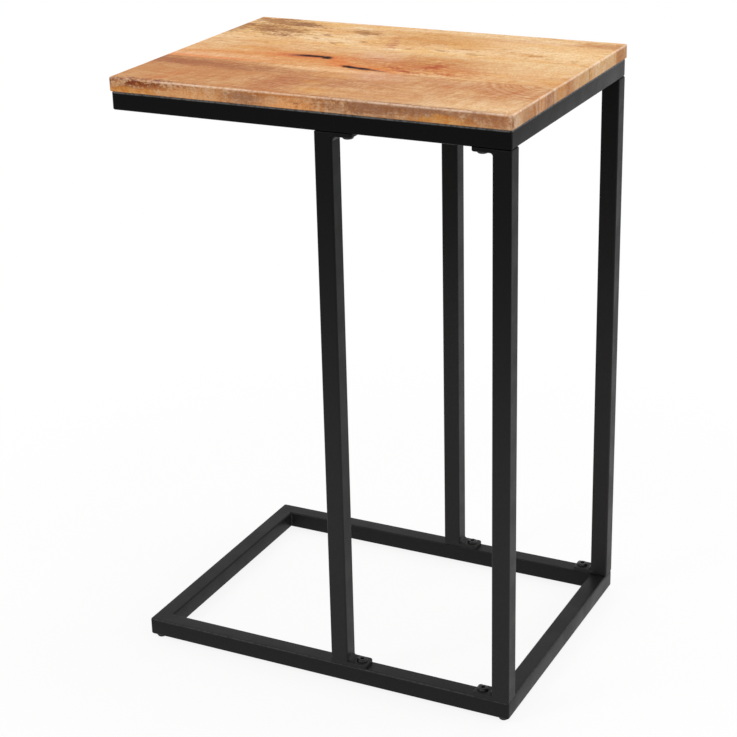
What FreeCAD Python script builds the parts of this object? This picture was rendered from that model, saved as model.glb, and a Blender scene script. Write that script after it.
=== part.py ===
import FreeCAD, Part
import math
import os

import Sketcher

# C shaped side table, in millimetres: a mango top on a welded frame of square steel tube, a base
# frame of the same size, and four square posts bolted between the two.
# The feet stand on z = 0, with the origin in the middle of the footprint. X runs along the long
# side, the front is -Y, and the C is open towards -X, so that the base slides under a sofa there.

doc = FreeCAD.newDocument("SideTable")

# Driving dimensions: alias, size and what it measures.
DIMENSIONS = [
    ("frame_length", 450, "outer length of the top and base frames"),
    ("frame_width", 330, "outer width of the top and base frames"),
    ("frame_gap", 605, "clear height between the base frame and the top frame"),
    ("tube_size", 20, "side of the square tube"),
    ("tube_wall", 1.5, "wall of the tube"),
    ("tube_corner", 2, "outer radius of the tube's four long edges"),
    ("mitre_round", 3, "radius ground on the outer corner of a welded mitre"),
    ("post_inset", 0.8, "distance of a post's outer faces behind the frame's faces"),
    ("middle_post_face", 13, "distance of the middle posts' left face from the centre"),
    ("plate_thickness", 4.5, "thickness of the plate welded on each end of a post"),
    ("plate_ear", 22, "length of the plate beyond the post's face"),
    ("plate_round", 3, "radius of the two free corners of the ear"),
    ("screw_offset", 13.5, "distance of the screw's axis from the post's face"),
    ("screw_hole", 6.6, "clearance hole in the ear"),
    ("screw_shank", 5.9, "diameter of the screw's shank, threads left off"),
    ("screw_length", 16, "length of the shank under the head"),
    ("screw_head", 12, "diameter of the button head"),
    ("screw_head_height", 3, "height of the button head"),
    ("screw_head_flat", 7, "diameter of the flat on top of the head"),
    ("screw_head_dome", 10, "radius of the head's domed side"),
    ("socket_size", 4, "width across flats of the hexagon socket"),
    ("socket_depth", 2, "depth of the hexagon socket"),
    ("bush_size", 9, "width across flats of the hexagonal threaded bush"),
    ("bush_bore", 6.1, "bore of the threaded bush, threads left off"),
    ("bush_length", 13, "length of the threaded bush"),
    ("weld_leg", 5, "leg of the weld bead between post and ear"),
    ("weld_length", 16, "length of the weld bead"),
    ("weld_bulge", 0.5, "how far the bead stands proud of a flat chamfer"),
    ("corner_weld_leg", 3, "leg of the flat weld bead in a frame's inner corner"),
    ("foot_height", 5, "height of a rubber foot below the tube"),
    ("foot_diameter", 12, "diameter of a foot where it is stuck to the tube"),
    ("foot_flat", 6, "diameter of the flat that stands on the floor"),
    ("foot_dome", 16, "radius of the foot's domed side"),
    ("foot_inset", 10, "distance of a foot's axis from the frame's outer faces"),
    ("top_thickness", 15, "thickness of the wooden top"),
    ("top_overhang", 0.5, "overhang of the top beyond the frame"),
    ("top_ease", 1.5, "radius that eases the top's outer edges"),
    ("front_board", 115.5, "width of the front board"),
    ("middle_board", 96, "width of the middle board"),
    ("rear_board", 82, "width of the rear board"),
    ("edge_board", 37.5, "width of the narrow board along the back edge"),
    ("lug_length", 30, "length of a fixing lug along its rail"),
    ("lug_reach", 22, "reach of a fixing lug into the frame"),
    ("lug_thickness", 2, "thickness of a fixing lug"),
    ("lug_clip", 6, "length clipped off the lug's free corners"),
    ("lug_slot", 4.6, "width of the slot in a lug"),
    ("lug_slot_length", 9, "length of the slot, across the grain of the top"),
    ("lug_position", 140, "distance of the lugs from the middle of the table"),
    ("pilot_hole", 3.8, "pilot hole in the top for a wood screw"),
    ("pilot_depth", 12, "depth of the pilot hole"),
    ("wood_screw_shank", 3.6, "diameter of the wood screw's shank, threads left off"),
    ("wood_screw_length", 11, "length of the wood screw above the lug's underside"),
    ("wood_screw_head", 7, "width across flats of the wood screw's hexagon head"),
    ("wood_screw_head_height", 2.8, "height of the hexagon head"),
]

sheet = doc.addObject("Spreadsheet::Sheet", "Sizes")
for row, (alias, size, meaning) in enumerate(DIMENSIONS, start=1):
    sheet.set(f"A{row}", meaning)
    sheet.set(f"B{row}", str(size))
    sheet.setAlias(f"B{row}", alias)
doc.recompute()

# Heights that several pieces share, as expressions of the sheet's cells.
BASE_TOP = "Sizes.foot_height + Sizes.tube_size"
TOP_FRAME_UNDERSIDE = f"{BASE_TOP} + Sizes.frame_gap"
TOP_FRAME_TOP = f"{TOP_FRAME_UNDERSIDE} + Sizes.tube_size"

CUT_MARGIN = 5  # how far a cutting outline runs past the steel that it removes
TINY = 1e-6  # two places nearer than this are the same

parts = []


def value_of(expression):
    """The number that an expression of the sheet's cells gives."""
    return float(sheet.evalExpression(expression))


# ---------------------------------------------------------------- sketches and bodies


def new_body(label):
    body = doc.addObject("PartDesign::Body", label)
    body.Label = label
    return body


def origin_feature(body, role):
    for feature in body.Origin.OriginFeatures:
        if feature.Role == role:
            return feature
    raise ValueError(f"no {role} in {body.Label}")


def new_sketch(body, name, plane, height=None):
    """A sketch on one of the body's own origin planes, raised by an expression if one is given."""
    sketch = body.newObject("Sketcher::SketchObject", f"{body.Name}_{name}")
    sketch.AttachmentSupport = [(origin_feature(body, plane), "")]
    sketch.MapMode = "FlatFace"
    if height:
        sketch.setExpression("AttachmentOffset.Base.z", height)
    return sketch


def bind(sketch, constraint, expression):
    """Adds a constraint whose size follows the sheet."""
    index = sketch.addConstraint(constraint)
    sketch.setExpression(f"Constraints[{index}]", expression)


def arc_between(start, end, radius, turns_left):
    """The short arc from start to end, and which of its ends is the start."""
    chord = end - start
    to_centre = math.sqrt(radius**2 - (chord.Length / 2) ** 2)
    side = FreeCAD.Vector(-chord.y, chord.x, 0).normalize() * to_centre
    centre = (start + end) * 0.5 + (side if turns_left else -side)
    first, last = (start, end) if turns_left else (end, start)
    angles = [math.atan2(p.y - centre.y, p.x - centre.x) for p in (first, last)]
    circle = Part.Circle(centre, FreeCAD.Vector(0, 0, 1), radius)
    return Part.ArcOfCircle(circle, *angles), (1, 2) if turns_left else (2, 1)


def draw_outline(sketch, corners, arcs=None):
    """A closed outline through the corners, each a pair of expressions.

    arcs maps a corner's number to (radius, turns_left) where the edge that leaves it is an arc.
    """
    arcs = arcs or {}
    points = [FreeCAD.Vector(value_of(x), value_of(y), 0) for x, y in corners]
    edges = []
    for number, start in enumerate(points):
        end = points[(number + 1) % len(points)]
        if number in arcs:
            radius, turns_left = arcs[number]
            edge, ends = arc_between(start, end, value_of(radius), turns_left)
            index = sketch.addGeometry(edge)
            bind(sketch, Sketcher.Constraint("Radius", index, value_of(radius)), radius)
        else:
            index = sketch.addGeometry(Part.LineSegment(start, end))
            ends = (1, 2)
        edges.append((index, *ends))
    for number, (index, first, _) in enumerate(edges):
        before, _, last = edges[number - 1]
        sketch.addConstraint(Sketcher.Constraint("Coincident", before, last, index, first))
        point = points[number]
        x, y = corners[number]
        bind(sketch, Sketcher.Constraint("DistanceX", -1, 1, index, first, point.x), x)
        bind(sketch, Sketcher.Constraint("DistanceY", -1, 1, index, first, point.y), y)


def rounded_square(sketch, size, radius):
    """A square about the sketch's origin with its corners rounded."""
    half = f"({size}) / 2"
    flat = f"({size}) / 2 - ({radius})"
    corners = [
        (f"-({flat})", f"-({half})"),
        (flat, f"-({half})"),
        (half, f"-({flat})"),
        (half, flat),
        (flat, half),
        (f"-({flat})", half),
        (f"-({half})", flat),
        (f"-({half})", f"-({flat})"),
    ]
    draw_outline(sketch, corners, {number: (radius, True) for number in (1, 3, 5, 7)})


def draw_circle(sketch, x, y, diameter):
    centre = FreeCAD.Vector(value_of(x), value_of(y), 0)
    circle = Part.Circle(centre, FreeCAD.Vector(0, 0, 1), value_of(diameter) / 2)
    index = sketch.addGeometry(circle)
    bind(sketch, Sketcher.Constraint("Diameter", index, value_of(diameter)), diameter)
    bind(sketch, Sketcher.Constraint("DistanceX", -1, 1, index, 3, centre.x), x)
    bind(sketch, Sketcher.Constraint("DistanceY", -1, 1, index, 3, centre.y), y)


def draw_hexagon(sketch, x, y, across_flats):
    """A regular hexagon with two of its corners on a line along X."""
    tip = f"{across_flats} / sqrt(3)"
    shoulder = f"{across_flats} / sqrt(12)"
    flat = f"{across_flats} / 2"
    corners = [
        (f"{x} + {tip}", y),
        (f"{x} + {shoulder}", f"{y} + {flat}"),
        (f"{x} - {shoulder}", f"{y} + {flat}"),
        (f"{x} - {tip}", y),
        (f"{x} - {shoulder}", f"{y} - {flat}"),
        (f"{x} + {shoulder}", f"{y} - {flat}"),
    ]
    draw_outline(sketch, corners)


def pad(body, sketch, length, symmetric=False, downwards=False):
    feature = body.newObject("PartDesign::Pad", f"{sketch.Name}_pad")
    feature.Profile = sketch
    feature.SideType = "Symmetric" if symmetric else "One side"
    feature.Reversed = downwards
    feature.setExpression("Length", length)
    body.Tip = feature
    doc.recompute()


def pocket(body, sketch, depth=None, upwards=False, symmetric=False):
    """Cuts a sketch's outline to a depth, or right through, down, up or both ways."""
    before = body.Shape.Volume
    feature = body.newObject("PartDesign::Pocket", f"{sketch.Name}_pocket")
    feature.Profile = sketch
    feature.Type = "Length" if depth else "ThroughAll"
    if depth:
        feature.setExpression("Length", depth)
    feature.SideType = "Symmetric" if symmetric else "One side"
    feature.Reversed = upwards
    body.Tip = feature
    doc.recompute()
    if body.Shape.Volume >= before:
        raise ValueError(f"{feature.Name} cuts nothing")
    return feature


def mirror(body, feature, plane):
    """Repeats a feature on the other side of one of the body's origin planes."""
    mirrored = body.newObject("PartDesign::Mirrored", f"{feature.Name}_mirrored")
    mirrored.Originals = [feature]
    mirrored.MirrorPlane = (origin_feature(body, plane), [""])
    body.Tip = mirrored
    doc.recompute()


def revolve(body, sketch):
    feature = body.newObject("PartDesign::Revolution", f"{sketch.Name}_turned")
    feature.Profile = sketch
    feature.ReferenceAxis = (sketch, ["V_Axis"])
    feature.Angle = 360
    body.Tip = feature
    doc.recompute()


def round_edges(body, chosen, radius):
    """Fillets the edges of the body's last feature for which chosen(edge) is true."""
    base = body.Tip
    names = [f"Edge{n}" for n, edge in enumerate(base.Shape.Edges, start=1) if chosen(edge)]
    fillet = body.newObject("PartDesign::Fillet", f"{base.Name}_round")
    fillet.Base = (base, names)
    fillet.setExpression("Radius", radius)
    body.Tip = fillet
    doc.recompute()


def place(piece, x, y, z, turn=0, upside_down=False):
    """Puts a piece at a place given by expressions, turned about Z and, if told, about X first."""
    rotation = FreeCAD.Rotation(FreeCAD.Vector(0, 0, 1), turn)
    if upside_down:
        rotation = rotation * FreeCAD.Rotation(FreeCAD.Vector(1, 0, 0), 180)
    piece.Placement = FreeCAD.Placement(FreeCAD.Vector(), rotation)
    for axis, expression in zip("xyz", (x, y, z)):
        piece.setExpression(f"Placement.Base.{axis}", expression)


def group(label, members):
    """One node that holds several identical pieces as separate solids."""
    compound = doc.addObject("Part::Compound", label)
    compound.Label = label
    compound.Links = members
    parts.append(compound)


# ---------------------------------------------------------------- square tube


def square_tube(label, plane, length, symmetric):
    """A straight length of square tube, its edges rounded outside and square inside."""
    body = new_body(label)
    section = new_sketch(body, "section", plane)
    rounded_square(section, "Sizes.tube_size", "Sizes.tube_corner")
    inside = "Sizes.tube_size / 2 - Sizes.tube_wall"
    signs = [(-1, -1), (1, -1), (1, 1), (-1, 1)]
    draw_outline(section, [(f"{x} * ({inside})", f"{y} * ({inside})") for x, y in signs])
    pad(body, section, length, symmetric)
    return body


def mitred_rail(label, length):
    """A rail along its own X, its outer face at -Y, mitred at both ends towards +Y.

    The outer corner of each mitre is ground round, so each rail keeps half of that arc.
    """
    rail = square_tube(label, "YZ_Plane", length, symmetric=True)
    end = f"-({length}) / 2"
    face = "-Sizes.tube_size / 2"
    radius = "Sizes.mitre_round"
    on_diagonal = f"{radius} * (1 - sqrt(0.5))"
    outline = [
        (f"{end} + {radius}", face),
        (f"{end} + {on_diagonal}", f"{face} + {on_diagonal}"),
        (f"{end} + Sizes.tube_size + {CUT_MARGIN}", f"-({face}) + {CUT_MARGIN}"),
        (f"{end} - {CUT_MARGIN}", f"-({face}) + {CUT_MARGIN}"),
        (f"{end} - {CUT_MARGIN}", f"{face} - {CUT_MARGIN}"),
        (f"{end} + {radius}", f"{face} - {CUT_MARGIN}"),
    ]
    waste = new_sketch(rail, "mitre", "XY_Plane")
    draw_outline(waste, outline, {0: (radius, False)})
    mirror(rail, pocket(rail, waste, symmetric=True), "YZ_Plane")
    return rail


# Where the screws stand along X: each is beyond its post's face, on the side of the other post.
END_POST_CENTRE = "Sizes.frame_length / 2 - Sizes.post_inset - Sizes.tube_size / 2"
MIDDLE_POST_CENTRE = "Sizes.middle_post_face + Sizes.tube_size / 2"
SCREW_FROM_CENTRE = "Sizes.tube_size / 2 + Sizes.screw_offset"
SCREW_XS = {
    "middle": f"{MIDDLE_POST_CENTRE} + {SCREW_FROM_CENTRE}",
    "end": f"{END_POST_CENTRE} - ({SCREW_FROM_CENTRE})",
}
POST_Y = "Sizes.frame_width / 2 - Sizes.post_inset - Sizes.tube_size / 2"

# Each side of a frame: its rail's length, the turn that brings its outer face round, and the
# side of the table that it is on.
FRAME_SIDES = {
    "front": ("Sizes.frame_length", 0, (0, -1)),
    "right": ("Sizes.frame_width", 90, (1, 0)),
    "back": ("Sizes.frame_length", 180, (0, 1)),
    "left": ("Sizes.frame_width", 270, (-1, 0)),
}


# Each inner corner of a frame: its side of the table, and the turn that points a bead's legs
# along the two rails.
FRAME_CORNERS = {
    "front_left": (-1, -1, 0),
    "front_right": (1, -1, 90),
    "back_right": (1, 1, 180),
    "back_left": (-1, 1, 270),
}


def corner_bead(label):
    """The flat bead that stands in an inner corner of a frame, as high as the tube's flat face."""
    body = new_body(label)
    leg = "Sizes.corner_weld_leg"
    section = new_sketch(body, "section", "XY_Plane")
    draw_outline(section, [("0", "0"), (leg, "0"), ("0", leg)])
    pad(body, section, "Sizes.tube_size - 2 * Sizes.tube_corner", symmetric=True)
    return body


def weld_frame(name, underside, screws_from_above):
    """The four mitred rails of one frame, with a hexagonal hole for each post's bush.

    It gives back the beads in the frame's inner corners.
    """
    middle = f"{underside} + Sizes.tube_size / 2"
    for side, (length, turn, (right, back)) in FRAME_SIDES.items():
        rail = mitred_rail(f"{name}_rail_{side}", length)
        if back:
            # A turned rail runs the other way along X, while its outer face stays at its own -Y.
            holes = new_sketch(rail, "bush_holes", "XY_Plane")
            for x in SCREW_XS.values():
                draw_hexagon(holes, f"{-back} * ({x})", "Sizes.post_inset", "Sizes.bush_size")
            pocket(rail, holes, upwards=screws_from_above)
        place(
            rail,
            f"{right} * (Sizes.frame_length - Sizes.tube_size) / 2",
            f"{back} * (Sizes.frame_width - Sizes.tube_size) / 2",
            middle,
            turn,
        )
        parts.append(rail)
    beads = []
    for corner, (right, back, turn) in FRAME_CORNERS.items():
        bead = corner_bead(f"weld_{name}_{corner}")
        place(
            bead,
            f"{right} * (Sizes.frame_length / 2 - Sizes.tube_size)",
            f"{back} * (Sizes.frame_width / 2 - Sizes.tube_size)",
            middle,
            turn,
        )
        beads.append(bead)
    return beads


corner_beads = {
    "base": weld_frame("base", "Sizes.foot_height", screws_from_above=True),
    "top": weld_frame("top", TOP_FRAME_UNDERSIDE, screws_from_above=False),
}


# ---------------------------------------------------------------- posts and their end plates


def end_plate(label):
    """A flat plate under the whole post, with an ear towards +X that takes one screw.

    Its own origin is on the post's axis, and the plate lies above it.
    """
    body = new_body(label)
    half = "Sizes.tube_size / 2"
    free_end = f"{half} + Sizes.plate_ear"
    corner = "Sizes.plate_round"
    outline = [
        (f"-({half})", f"-({half})"),
        (f"{free_end} - {corner}", f"-({half})"),
        (free_end, f"-({half}) + {corner}"),
        (free_end, f"{half} - {corner}"),
        (f"{free_end} - {corner}", half),
        (f"-({half})", half),
    ]
    profile = new_sketch(body, "outline", "XY_Plane")
    draw_outline(profile, outline, {1: (corner, True), 3: (corner, True)})
    pad(body, profile, "Sizes.plate_thickness")
    centre = new_sketch(body, "hole_centre", "XY_Plane", "Sizes.plate_thickness")
    draw_circle(centre, SCREW_FROM_CENTRE, "0", "Sizes.screw_hole")
    doc.recompute()
    hole = body.newObject("PartDesign::Hole", f"{label}_hole")
    hole.Profile = centre
    hole.setExpression("Diameter", "Sizes.screw_hole")
    hole.DepthType = "ThroughAll"
    body.Tip = hole
    doc.recompute()
    return body


def weld_bead(label):
    """The bead in the corner between the post's +X face and the ear, crowned outwards."""
    body = new_body(label)
    face = "Sizes.tube_size / 2"
    leg = "Sizes.weld_leg"
    chord = f"{leg} * sqrt(2)"
    crown = f"(pow({chord}, 2) / (8 * Sizes.weld_bulge) + Sizes.weld_bulge / 2)"
    outline = [(face, "0"), (f"{face} + {leg}", "0"), (face, leg)]
    section = new_sketch(body, "section", "XZ_Plane")
    draw_outline(section, outline, {1: (crown, True)})
    pad(body, section, "Sizes.weld_length", symmetric=True)
    return body


def turned_screw(label):
    """A button-head screw with a hexagon socket, its head above its origin, its shank below."""
    body = new_body(label)
    head = "Sizes.screw_head / 2"
    top = "Sizes.screw_head_height"
    flat = "Sizes.screw_head_flat / 2"
    shank = "Sizes.screw_shank / 2"
    tip = "-Sizes.screw_length"
    outline = [("0", tip), (shank, tip), (shank, "0"), (head, "0"), (flat, top), ("0", top)]
    section = new_sketch(body, "section", "XZ_Plane")
    draw_outline(section, outline, {3: ("Sizes.screw_head_dome", True)})
    revolve(body, section)
    socket = new_sketch(body, "socket", "XY_Plane", top)
    draw_hexagon(socket, "0", "0", "Sizes.socket_size")
    pocket(body, socket, "Sizes.socket_depth")
    return body


def threaded_bush(label):
    """A hexagonal bush set in the tube's wall, so that it can't turn: its rim is flush with the
    tube's face at its origin, and its body hangs inside the tube."""
    body = new_body(label)
    section = new_sketch(body, "section", "XY_Plane")
    draw_hexagon(section, "0", "0", "Sizes.bush_size")
    draw_circle(section, "0", "0", "Sizes.bush_bore")
    pad(body, section, "Sizes.bush_length", downwards=True)
    return body


# The ear of a middle post points to the end post, and the ear of an end post points back.
POSTS = {
    "front_middle": (MIDDLE_POST_CENTRE, f"-({POST_Y})", 0),
    "back_middle": (MIDDLE_POST_CENTRE, POST_Y, 0),
    "front_end": (END_POST_CENTRE, f"-({POST_Y})", 180),
    "back_end": (END_POST_CENTRE, POST_Y, 180),
}
# Each joint between a post and a frame: the height of the frame's face and whether the joint
# is built upside down, with its plate under that face instead of on it.
JOINTS = {"base": (BASE_TOP, False), "top": (TOP_FRAME_UNDERSIDE, True)}

for post_name, (x, y, _) in POSTS.items():
    tube_length = "Sizes.frame_gap - 2 * Sizes.plate_thickness"
    post = square_tube(f"post_{post_name}", "XY_Plane", tube_length, symmetric=False)
    place(post, x, y, f"{BASE_TOP} + Sizes.plate_thickness")
    parts.append(post)

for joint_name, (height, upside_down) in JOINTS.items():
    plate_face = f"{height} {'-' if upside_down else '+'} Sizes.plate_thickness"
    fasteners = {"welds": corner_beads[joint_name], "screws": [], "bushes": []}
    for post_name, (x, y, turn) in POSTS.items():
        ear = -1 if turn else 1
        screw_x = f"{x} + {ear} * ({SCREW_FROM_CENTRE})"
        name = f"{joint_name}_{post_name}"
        plate = end_plate(f"plate_{name}")
        place(plate, x, y, height, turn, upside_down)
        parts.append(plate)
        weld = weld_bead(f"weld_{name}")
        place(weld, x, y, plate_face, turn, upside_down)
        fasteners["welds"].append(weld)
        screw = turned_screw(f"screw_{name}")
        place(screw, screw_x, y, plate_face, turn, upside_down)
        fasteners["screws"].append(screw)
        bush = threaded_bush(f"bush_{name}")
        place(bush, screw_x, y, height, turn, upside_down)
        fasteners["bushes"].append(bush)
    for kind, members in fasteners.items():
        group(f"{joint_name}_{kind}", members)


# ---------------------------------------------------------------- feet


def rubber_foot(label):
    """A domed foot stuck under a corner of the base, its seat against the tube at its origin."""
    body = new_body(label)
    rim = "Sizes.foot_diameter / 2"
    flat = "Sizes.foot_flat / 2"
    floor = "-Sizes.foot_height"
    section = new_sketch(body, "section", "XZ_Plane")
    outline = [("0", floor), (flat, floor), (rim, "0"), ("0", "0")]
    draw_outline(section, outline, {1: ("Sizes.foot_dome", True)})
    revolve(body, section)
    return body


feet = []
for end, right in (("left", -1), ("right", 1)):
    for side, back in (("front", -1), ("back", 1)):
        foot = rubber_foot(f"foot_{side}_{end}")
        place(
            foot,
            f"{right} * (Sizes.frame_length / 2 - Sizes.foot_inset)",
            f"{back} * (Sizes.frame_width / 2 - Sizes.foot_inset)",
            "Sizes.foot_height",
        )
        feet.append(foot)
group("rubber_feet", feet)


# ---------------------------------------------------------------- wooden top

TOP_LENGTH = "Sizes.frame_length + 2 * Sizes.top_overhang"
TOP_FRONT = "-(Sizes.frame_width / 2 + Sizes.top_overhang)"


def board(label, front, width, outer_sides):
    """One board along X. Its outer edges are eased, and the edges at a glued joint stay sharp.

    outer_sides holds -1 where the board's front is an outer edge, and 1 where its back is.
    """
    body = new_body(label)
    half = f"({TOP_LENGTH}) / 2"
    outline = [(f"-({half})", "0"), (half, "0"), (half, width), (f"-({half})", width)]
    profile = new_sketch(body, "outline", "XY_Plane")
    draw_outline(profile, outline)
    pad(body, profile, "Sizes.top_thickness")
    end = value_of(half)
    back = value_of(width)

    def is_outer(edge):
        centre = edge.BoundBox.Center
        at_end = abs(abs(centre.x) - end) < TINY
        at_front = abs(centre.y) < TINY and -1 in outer_sides
        at_back = abs(centre.y - back) < TINY and 1 in outer_sides
        if edge.BoundBox.ZLength > TINY:
            return at_end and (at_front or at_back)
        return centre.z > TINY and (at_end or at_front or at_back)

    round_edges(body, is_outer, "Sizes.top_ease")
    if outer_sides:
        # The wood screws stand at the same distance inside the frame's rail on either side.
        from_edge = "(Sizes.top_overhang + Sizes.tube_size + Sizes.lug_reach / 2)"
        row = from_edge if -1 in outer_sides else f"{width} - {from_edge}"
        pilots = new_sketch(body, "pilot_holes", "XY_Plane")
        for side in (-1, 1):
            draw_circle(pilots, f"{side} * Sizes.lug_position", row, "Sizes.pilot_hole")
        pocket(body, pilots, "Sizes.pilot_depth", upwards=True)
    place(body, "0", front, TOP_FRAME_TOP)
    parts.append(body)


BOARDS = [
    ("front", "Sizes.front_board", (-1,)),
    ("middle", "Sizes.middle_board", ()),
    ("rear", "Sizes.rear_board", ()),
    ("edge", "Sizes.edge_board", (1,)),
]
board_front = TOP_FRONT
for board_name, board_width, outer in BOARDS:
    board(f"top_board_{board_name}", board_front, board_width, outer)
    board_front = f"{board_front} + {board_width}"


# ---------------------------------------------------------------- fixing of the top


def fixing_lug(label):
    """A tab welded to the inner face of a rail, flush with its top, reaching towards +Y.

    Its slot runs across the grain, so that the top can swell and shrink.
    """
    body = new_body(label)
    half = "Sizes.lug_length / 2"
    reach = "Sizes.lug_reach"
    clip = "Sizes.lug_clip"
    outline = [
        (f"-({half})", "0"),
        (half, "0"),
        (half, f"{reach} - {clip}"),
        (f"{half} - {clip}", reach),
        (f"-({half}) + {clip}", reach),
        (f"-({half})", f"{reach} - {clip}"),
    ]
    profile = new_sketch(body, "outline", "XY_Plane")
    draw_outline(profile, outline)
    pad(body, profile, "Sizes.lug_thickness")
    side = "Sizes.lug_slot / 2"
    near = f"({reach} - Sizes.lug_slot_length) / 2"
    far = f"({reach} + Sizes.lug_slot_length) / 2"
    slot = new_sketch(body, "slot", "XY_Plane")
    draw_outline(slot, [(side, near), (side, far), (f"-({side})", far), (f"-({side})", near)])
    pocket(body, slot, upwards=True)
    return body


def wood_screw(label):
    """A hexagon-head wood screw, its head below its origin and its shank above."""
    body = new_body(label)
    head = new_sketch(body, "head", "XY_Plane")
    draw_hexagon(head, "0", "0", "Sizes.wood_screw_head")
    pad(body, head, "Sizes.wood_screw_head_height", downwards=True)
    shank = new_sketch(body, "shank", "XY_Plane")
    draw_circle(shank, "0", "0", "Sizes.wood_screw_shank")
    pad(body, shank, "Sizes.wood_screw_length")
    return body


lugs = []
wood_screws = []
for end, right in (("left", -1), ("right", 1)):
    for side, back in (("front", -1), ("back", 1)):
        lug_x = f"{right} * Sizes.lug_position"
        rail_face = "(Sizes.frame_width / 2 - Sizes.tube_size)"
        lug_z = f"{TOP_FRAME_TOP} - Sizes.lug_thickness"
        lug = fixing_lug(f"lug_{side}_{end}")
        place(lug, lug_x, f"{back} * {rail_face}", lug_z, 180 if back > 0 else 0)
        lugs.append(lug)
        screw = wood_screw(f"wood_screw_{side}_{end}")
        place(screw, lug_x, f"{back} * ({rail_face} - Sizes.lug_reach / 2)", lug_z)
        wood_screws.append(screw)
group("top_fixing_lugs", lugs)
group("top_fixing_screws", wood_screws)


# ---------------------------------------------------------------- check and write

doc.recompute()
for item in doc.Objects:
    if "Invalid" in item.State or "Error" in item.State:
        raise RuntimeError(f"{item.Label} failed: {item.State}")
for part in parts:
    if part.Shape.isNull() or not part.Shape.isValid():
        raise RuntimeError(f"{part.Label} has no valid shape")

os.makedirs("parts", exist_ok=True)
for part in parts:
    part.Shape.exportStep(f"parts/{part.Label}.step")
print(f"{len(parts)} sub-parts, {sum(len(part.Shape.Solids) for part in parts)} solids")
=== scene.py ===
import math

import bmesh
import bpy
from mathutils import Matrix, Vector, noise


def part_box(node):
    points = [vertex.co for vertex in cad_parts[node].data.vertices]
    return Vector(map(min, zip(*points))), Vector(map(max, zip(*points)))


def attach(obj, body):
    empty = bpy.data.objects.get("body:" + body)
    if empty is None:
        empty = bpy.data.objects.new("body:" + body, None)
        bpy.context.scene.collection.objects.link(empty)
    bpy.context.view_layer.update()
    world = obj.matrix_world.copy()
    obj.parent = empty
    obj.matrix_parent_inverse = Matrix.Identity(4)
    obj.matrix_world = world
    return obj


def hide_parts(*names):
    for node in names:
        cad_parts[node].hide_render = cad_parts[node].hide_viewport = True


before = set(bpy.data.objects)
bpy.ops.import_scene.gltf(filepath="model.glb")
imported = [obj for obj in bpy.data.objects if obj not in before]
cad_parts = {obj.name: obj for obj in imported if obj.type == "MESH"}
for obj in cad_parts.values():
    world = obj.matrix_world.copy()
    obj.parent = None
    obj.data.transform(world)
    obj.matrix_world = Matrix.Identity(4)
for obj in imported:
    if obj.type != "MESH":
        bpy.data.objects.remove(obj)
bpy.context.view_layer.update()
MM = 0.001


# ---------------------------------------------------------------- steel rails
# Two frames of 20 mm square tube, one on the floor and one under the top. The corners are mitred,
# welded and ground round, and each frame is powder coated satin black with a fine texture. The
# coat of the top frame is glossier, and its black is painted darker as shade under the wooden top.

COAT_BLACK = (27, 26, 27)
# painted shade: the top frame's black, darker as shade under the overhanging wooden top
TOP_FRAME_SHADED_BLACK = (9, 9, 9)
# painted highlight: the grey of the line along a frame's outer upper arris
ARRIS_HIGHLIGHT_GREY = (108, 107, 108)
TUBE = 20 * MM
TUBE_ROUND = 2 * MM
TUBE_STEPS = 6  # straight pieces in each rounded corner of the tube
MITRE_ROUND = 3 * MM
MITRE_STEPS = 5
MITRE_SEAM = 1.8  # mm from the middle of a ground weld to where it ends
SEAM_CREST = 0.2  # mm from its middle to where it starts to fall
SEAM_STRAY = 0.9  # mm, the most that it strays from the mitre
SEAM_RISE = 1.3  # its height, where the depth of the coat's texture is 1
FRAME_CORNER = (225.0, 165.0)  # mm, half the length and half the width of a frame
BASE_FACE = 25.0  # mm, height of the base's upper face
TOP_FRAME_FACE = 650.0
FLOOR_LIGHT_FROM = 150.0  # mm, the height up to which the posts are lightest from painted floor light
FLOOR_LIGHT_TO = 640.0
SHARPEST_SMOOTH = 32  # degrees between two faces that still shade as one
SAME_POINT = 0.002 * MM  # points nearer than this are joined


def paint(red, green, blue):
    """A colour from a paint chart, each part from 0 to 255, as the shaders want it."""
    parts = [part / 255 for part in (red, green, blue)]
    return (*(p / 12.92 if p <= 0.04045 else ((p + 0.055) / 1.055) ** 2.4 for p in parts), 1.0)


def put(tree, kind, inputs=None, **settings):
    """Adds a shader node. An input given a socket is linked to it, and any other value is set."""
    made = tree.nodes.new(kind)
    for name, value in settings.items():
        setattr(made, name, value)
    for key, value in (inputs or {}).items():
        if isinstance(value, bpy.types.NodeSocket):
            tree.links.new(value, made.inputs[key])
        else:
            made.inputs[key].default_value = value
    return made


def maths(tree, operation, *values):
    return put(tree, "ShaderNodeMath", dict(enumerate(values)), operation=operation).outputs[0]


def vectors(tree, operation, *values):
    inputs = dict(enumerate(values))
    return put(tree, "ShaderNodeVectorMath", inputs, operation=operation).outputs[0]


def length_of(tree, vector):
    return put(tree, "ShaderNodeVectorMath", {0: vector}, operation="LENGTH").outputs["Value"]


def ease(tree, value, low, high, start=0.0, end=1.0):
    """Goes smoothly from start to end as the value goes from low to high."""
    inputs = {"Value": value, "From Min": low, "From Max": high, "To Min": start, "To Max": end}
    return put(tree, "ShaderNodeMapRange", inputs, interpolation_type="SMOOTHSTEP").outputs[0]


def speckle(tree, position, fineness, seed=0.0, detail=2.0):
    """Noise about 0.5. The fineness is how many grains a millimetre holds along each axis."""
    spread = vectors(tree, "MULTIPLY", position, fineness)
    moved = vectors(tree, "ADD", spread, (seed, seed * 1.7, seed * 2.3))
    inputs = {"Vector": moved, "Scale": 1.0, "Detail": detail}
    return put(tree, "ShaderNodeTexNoise", inputs).outputs["Fac"]


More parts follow.
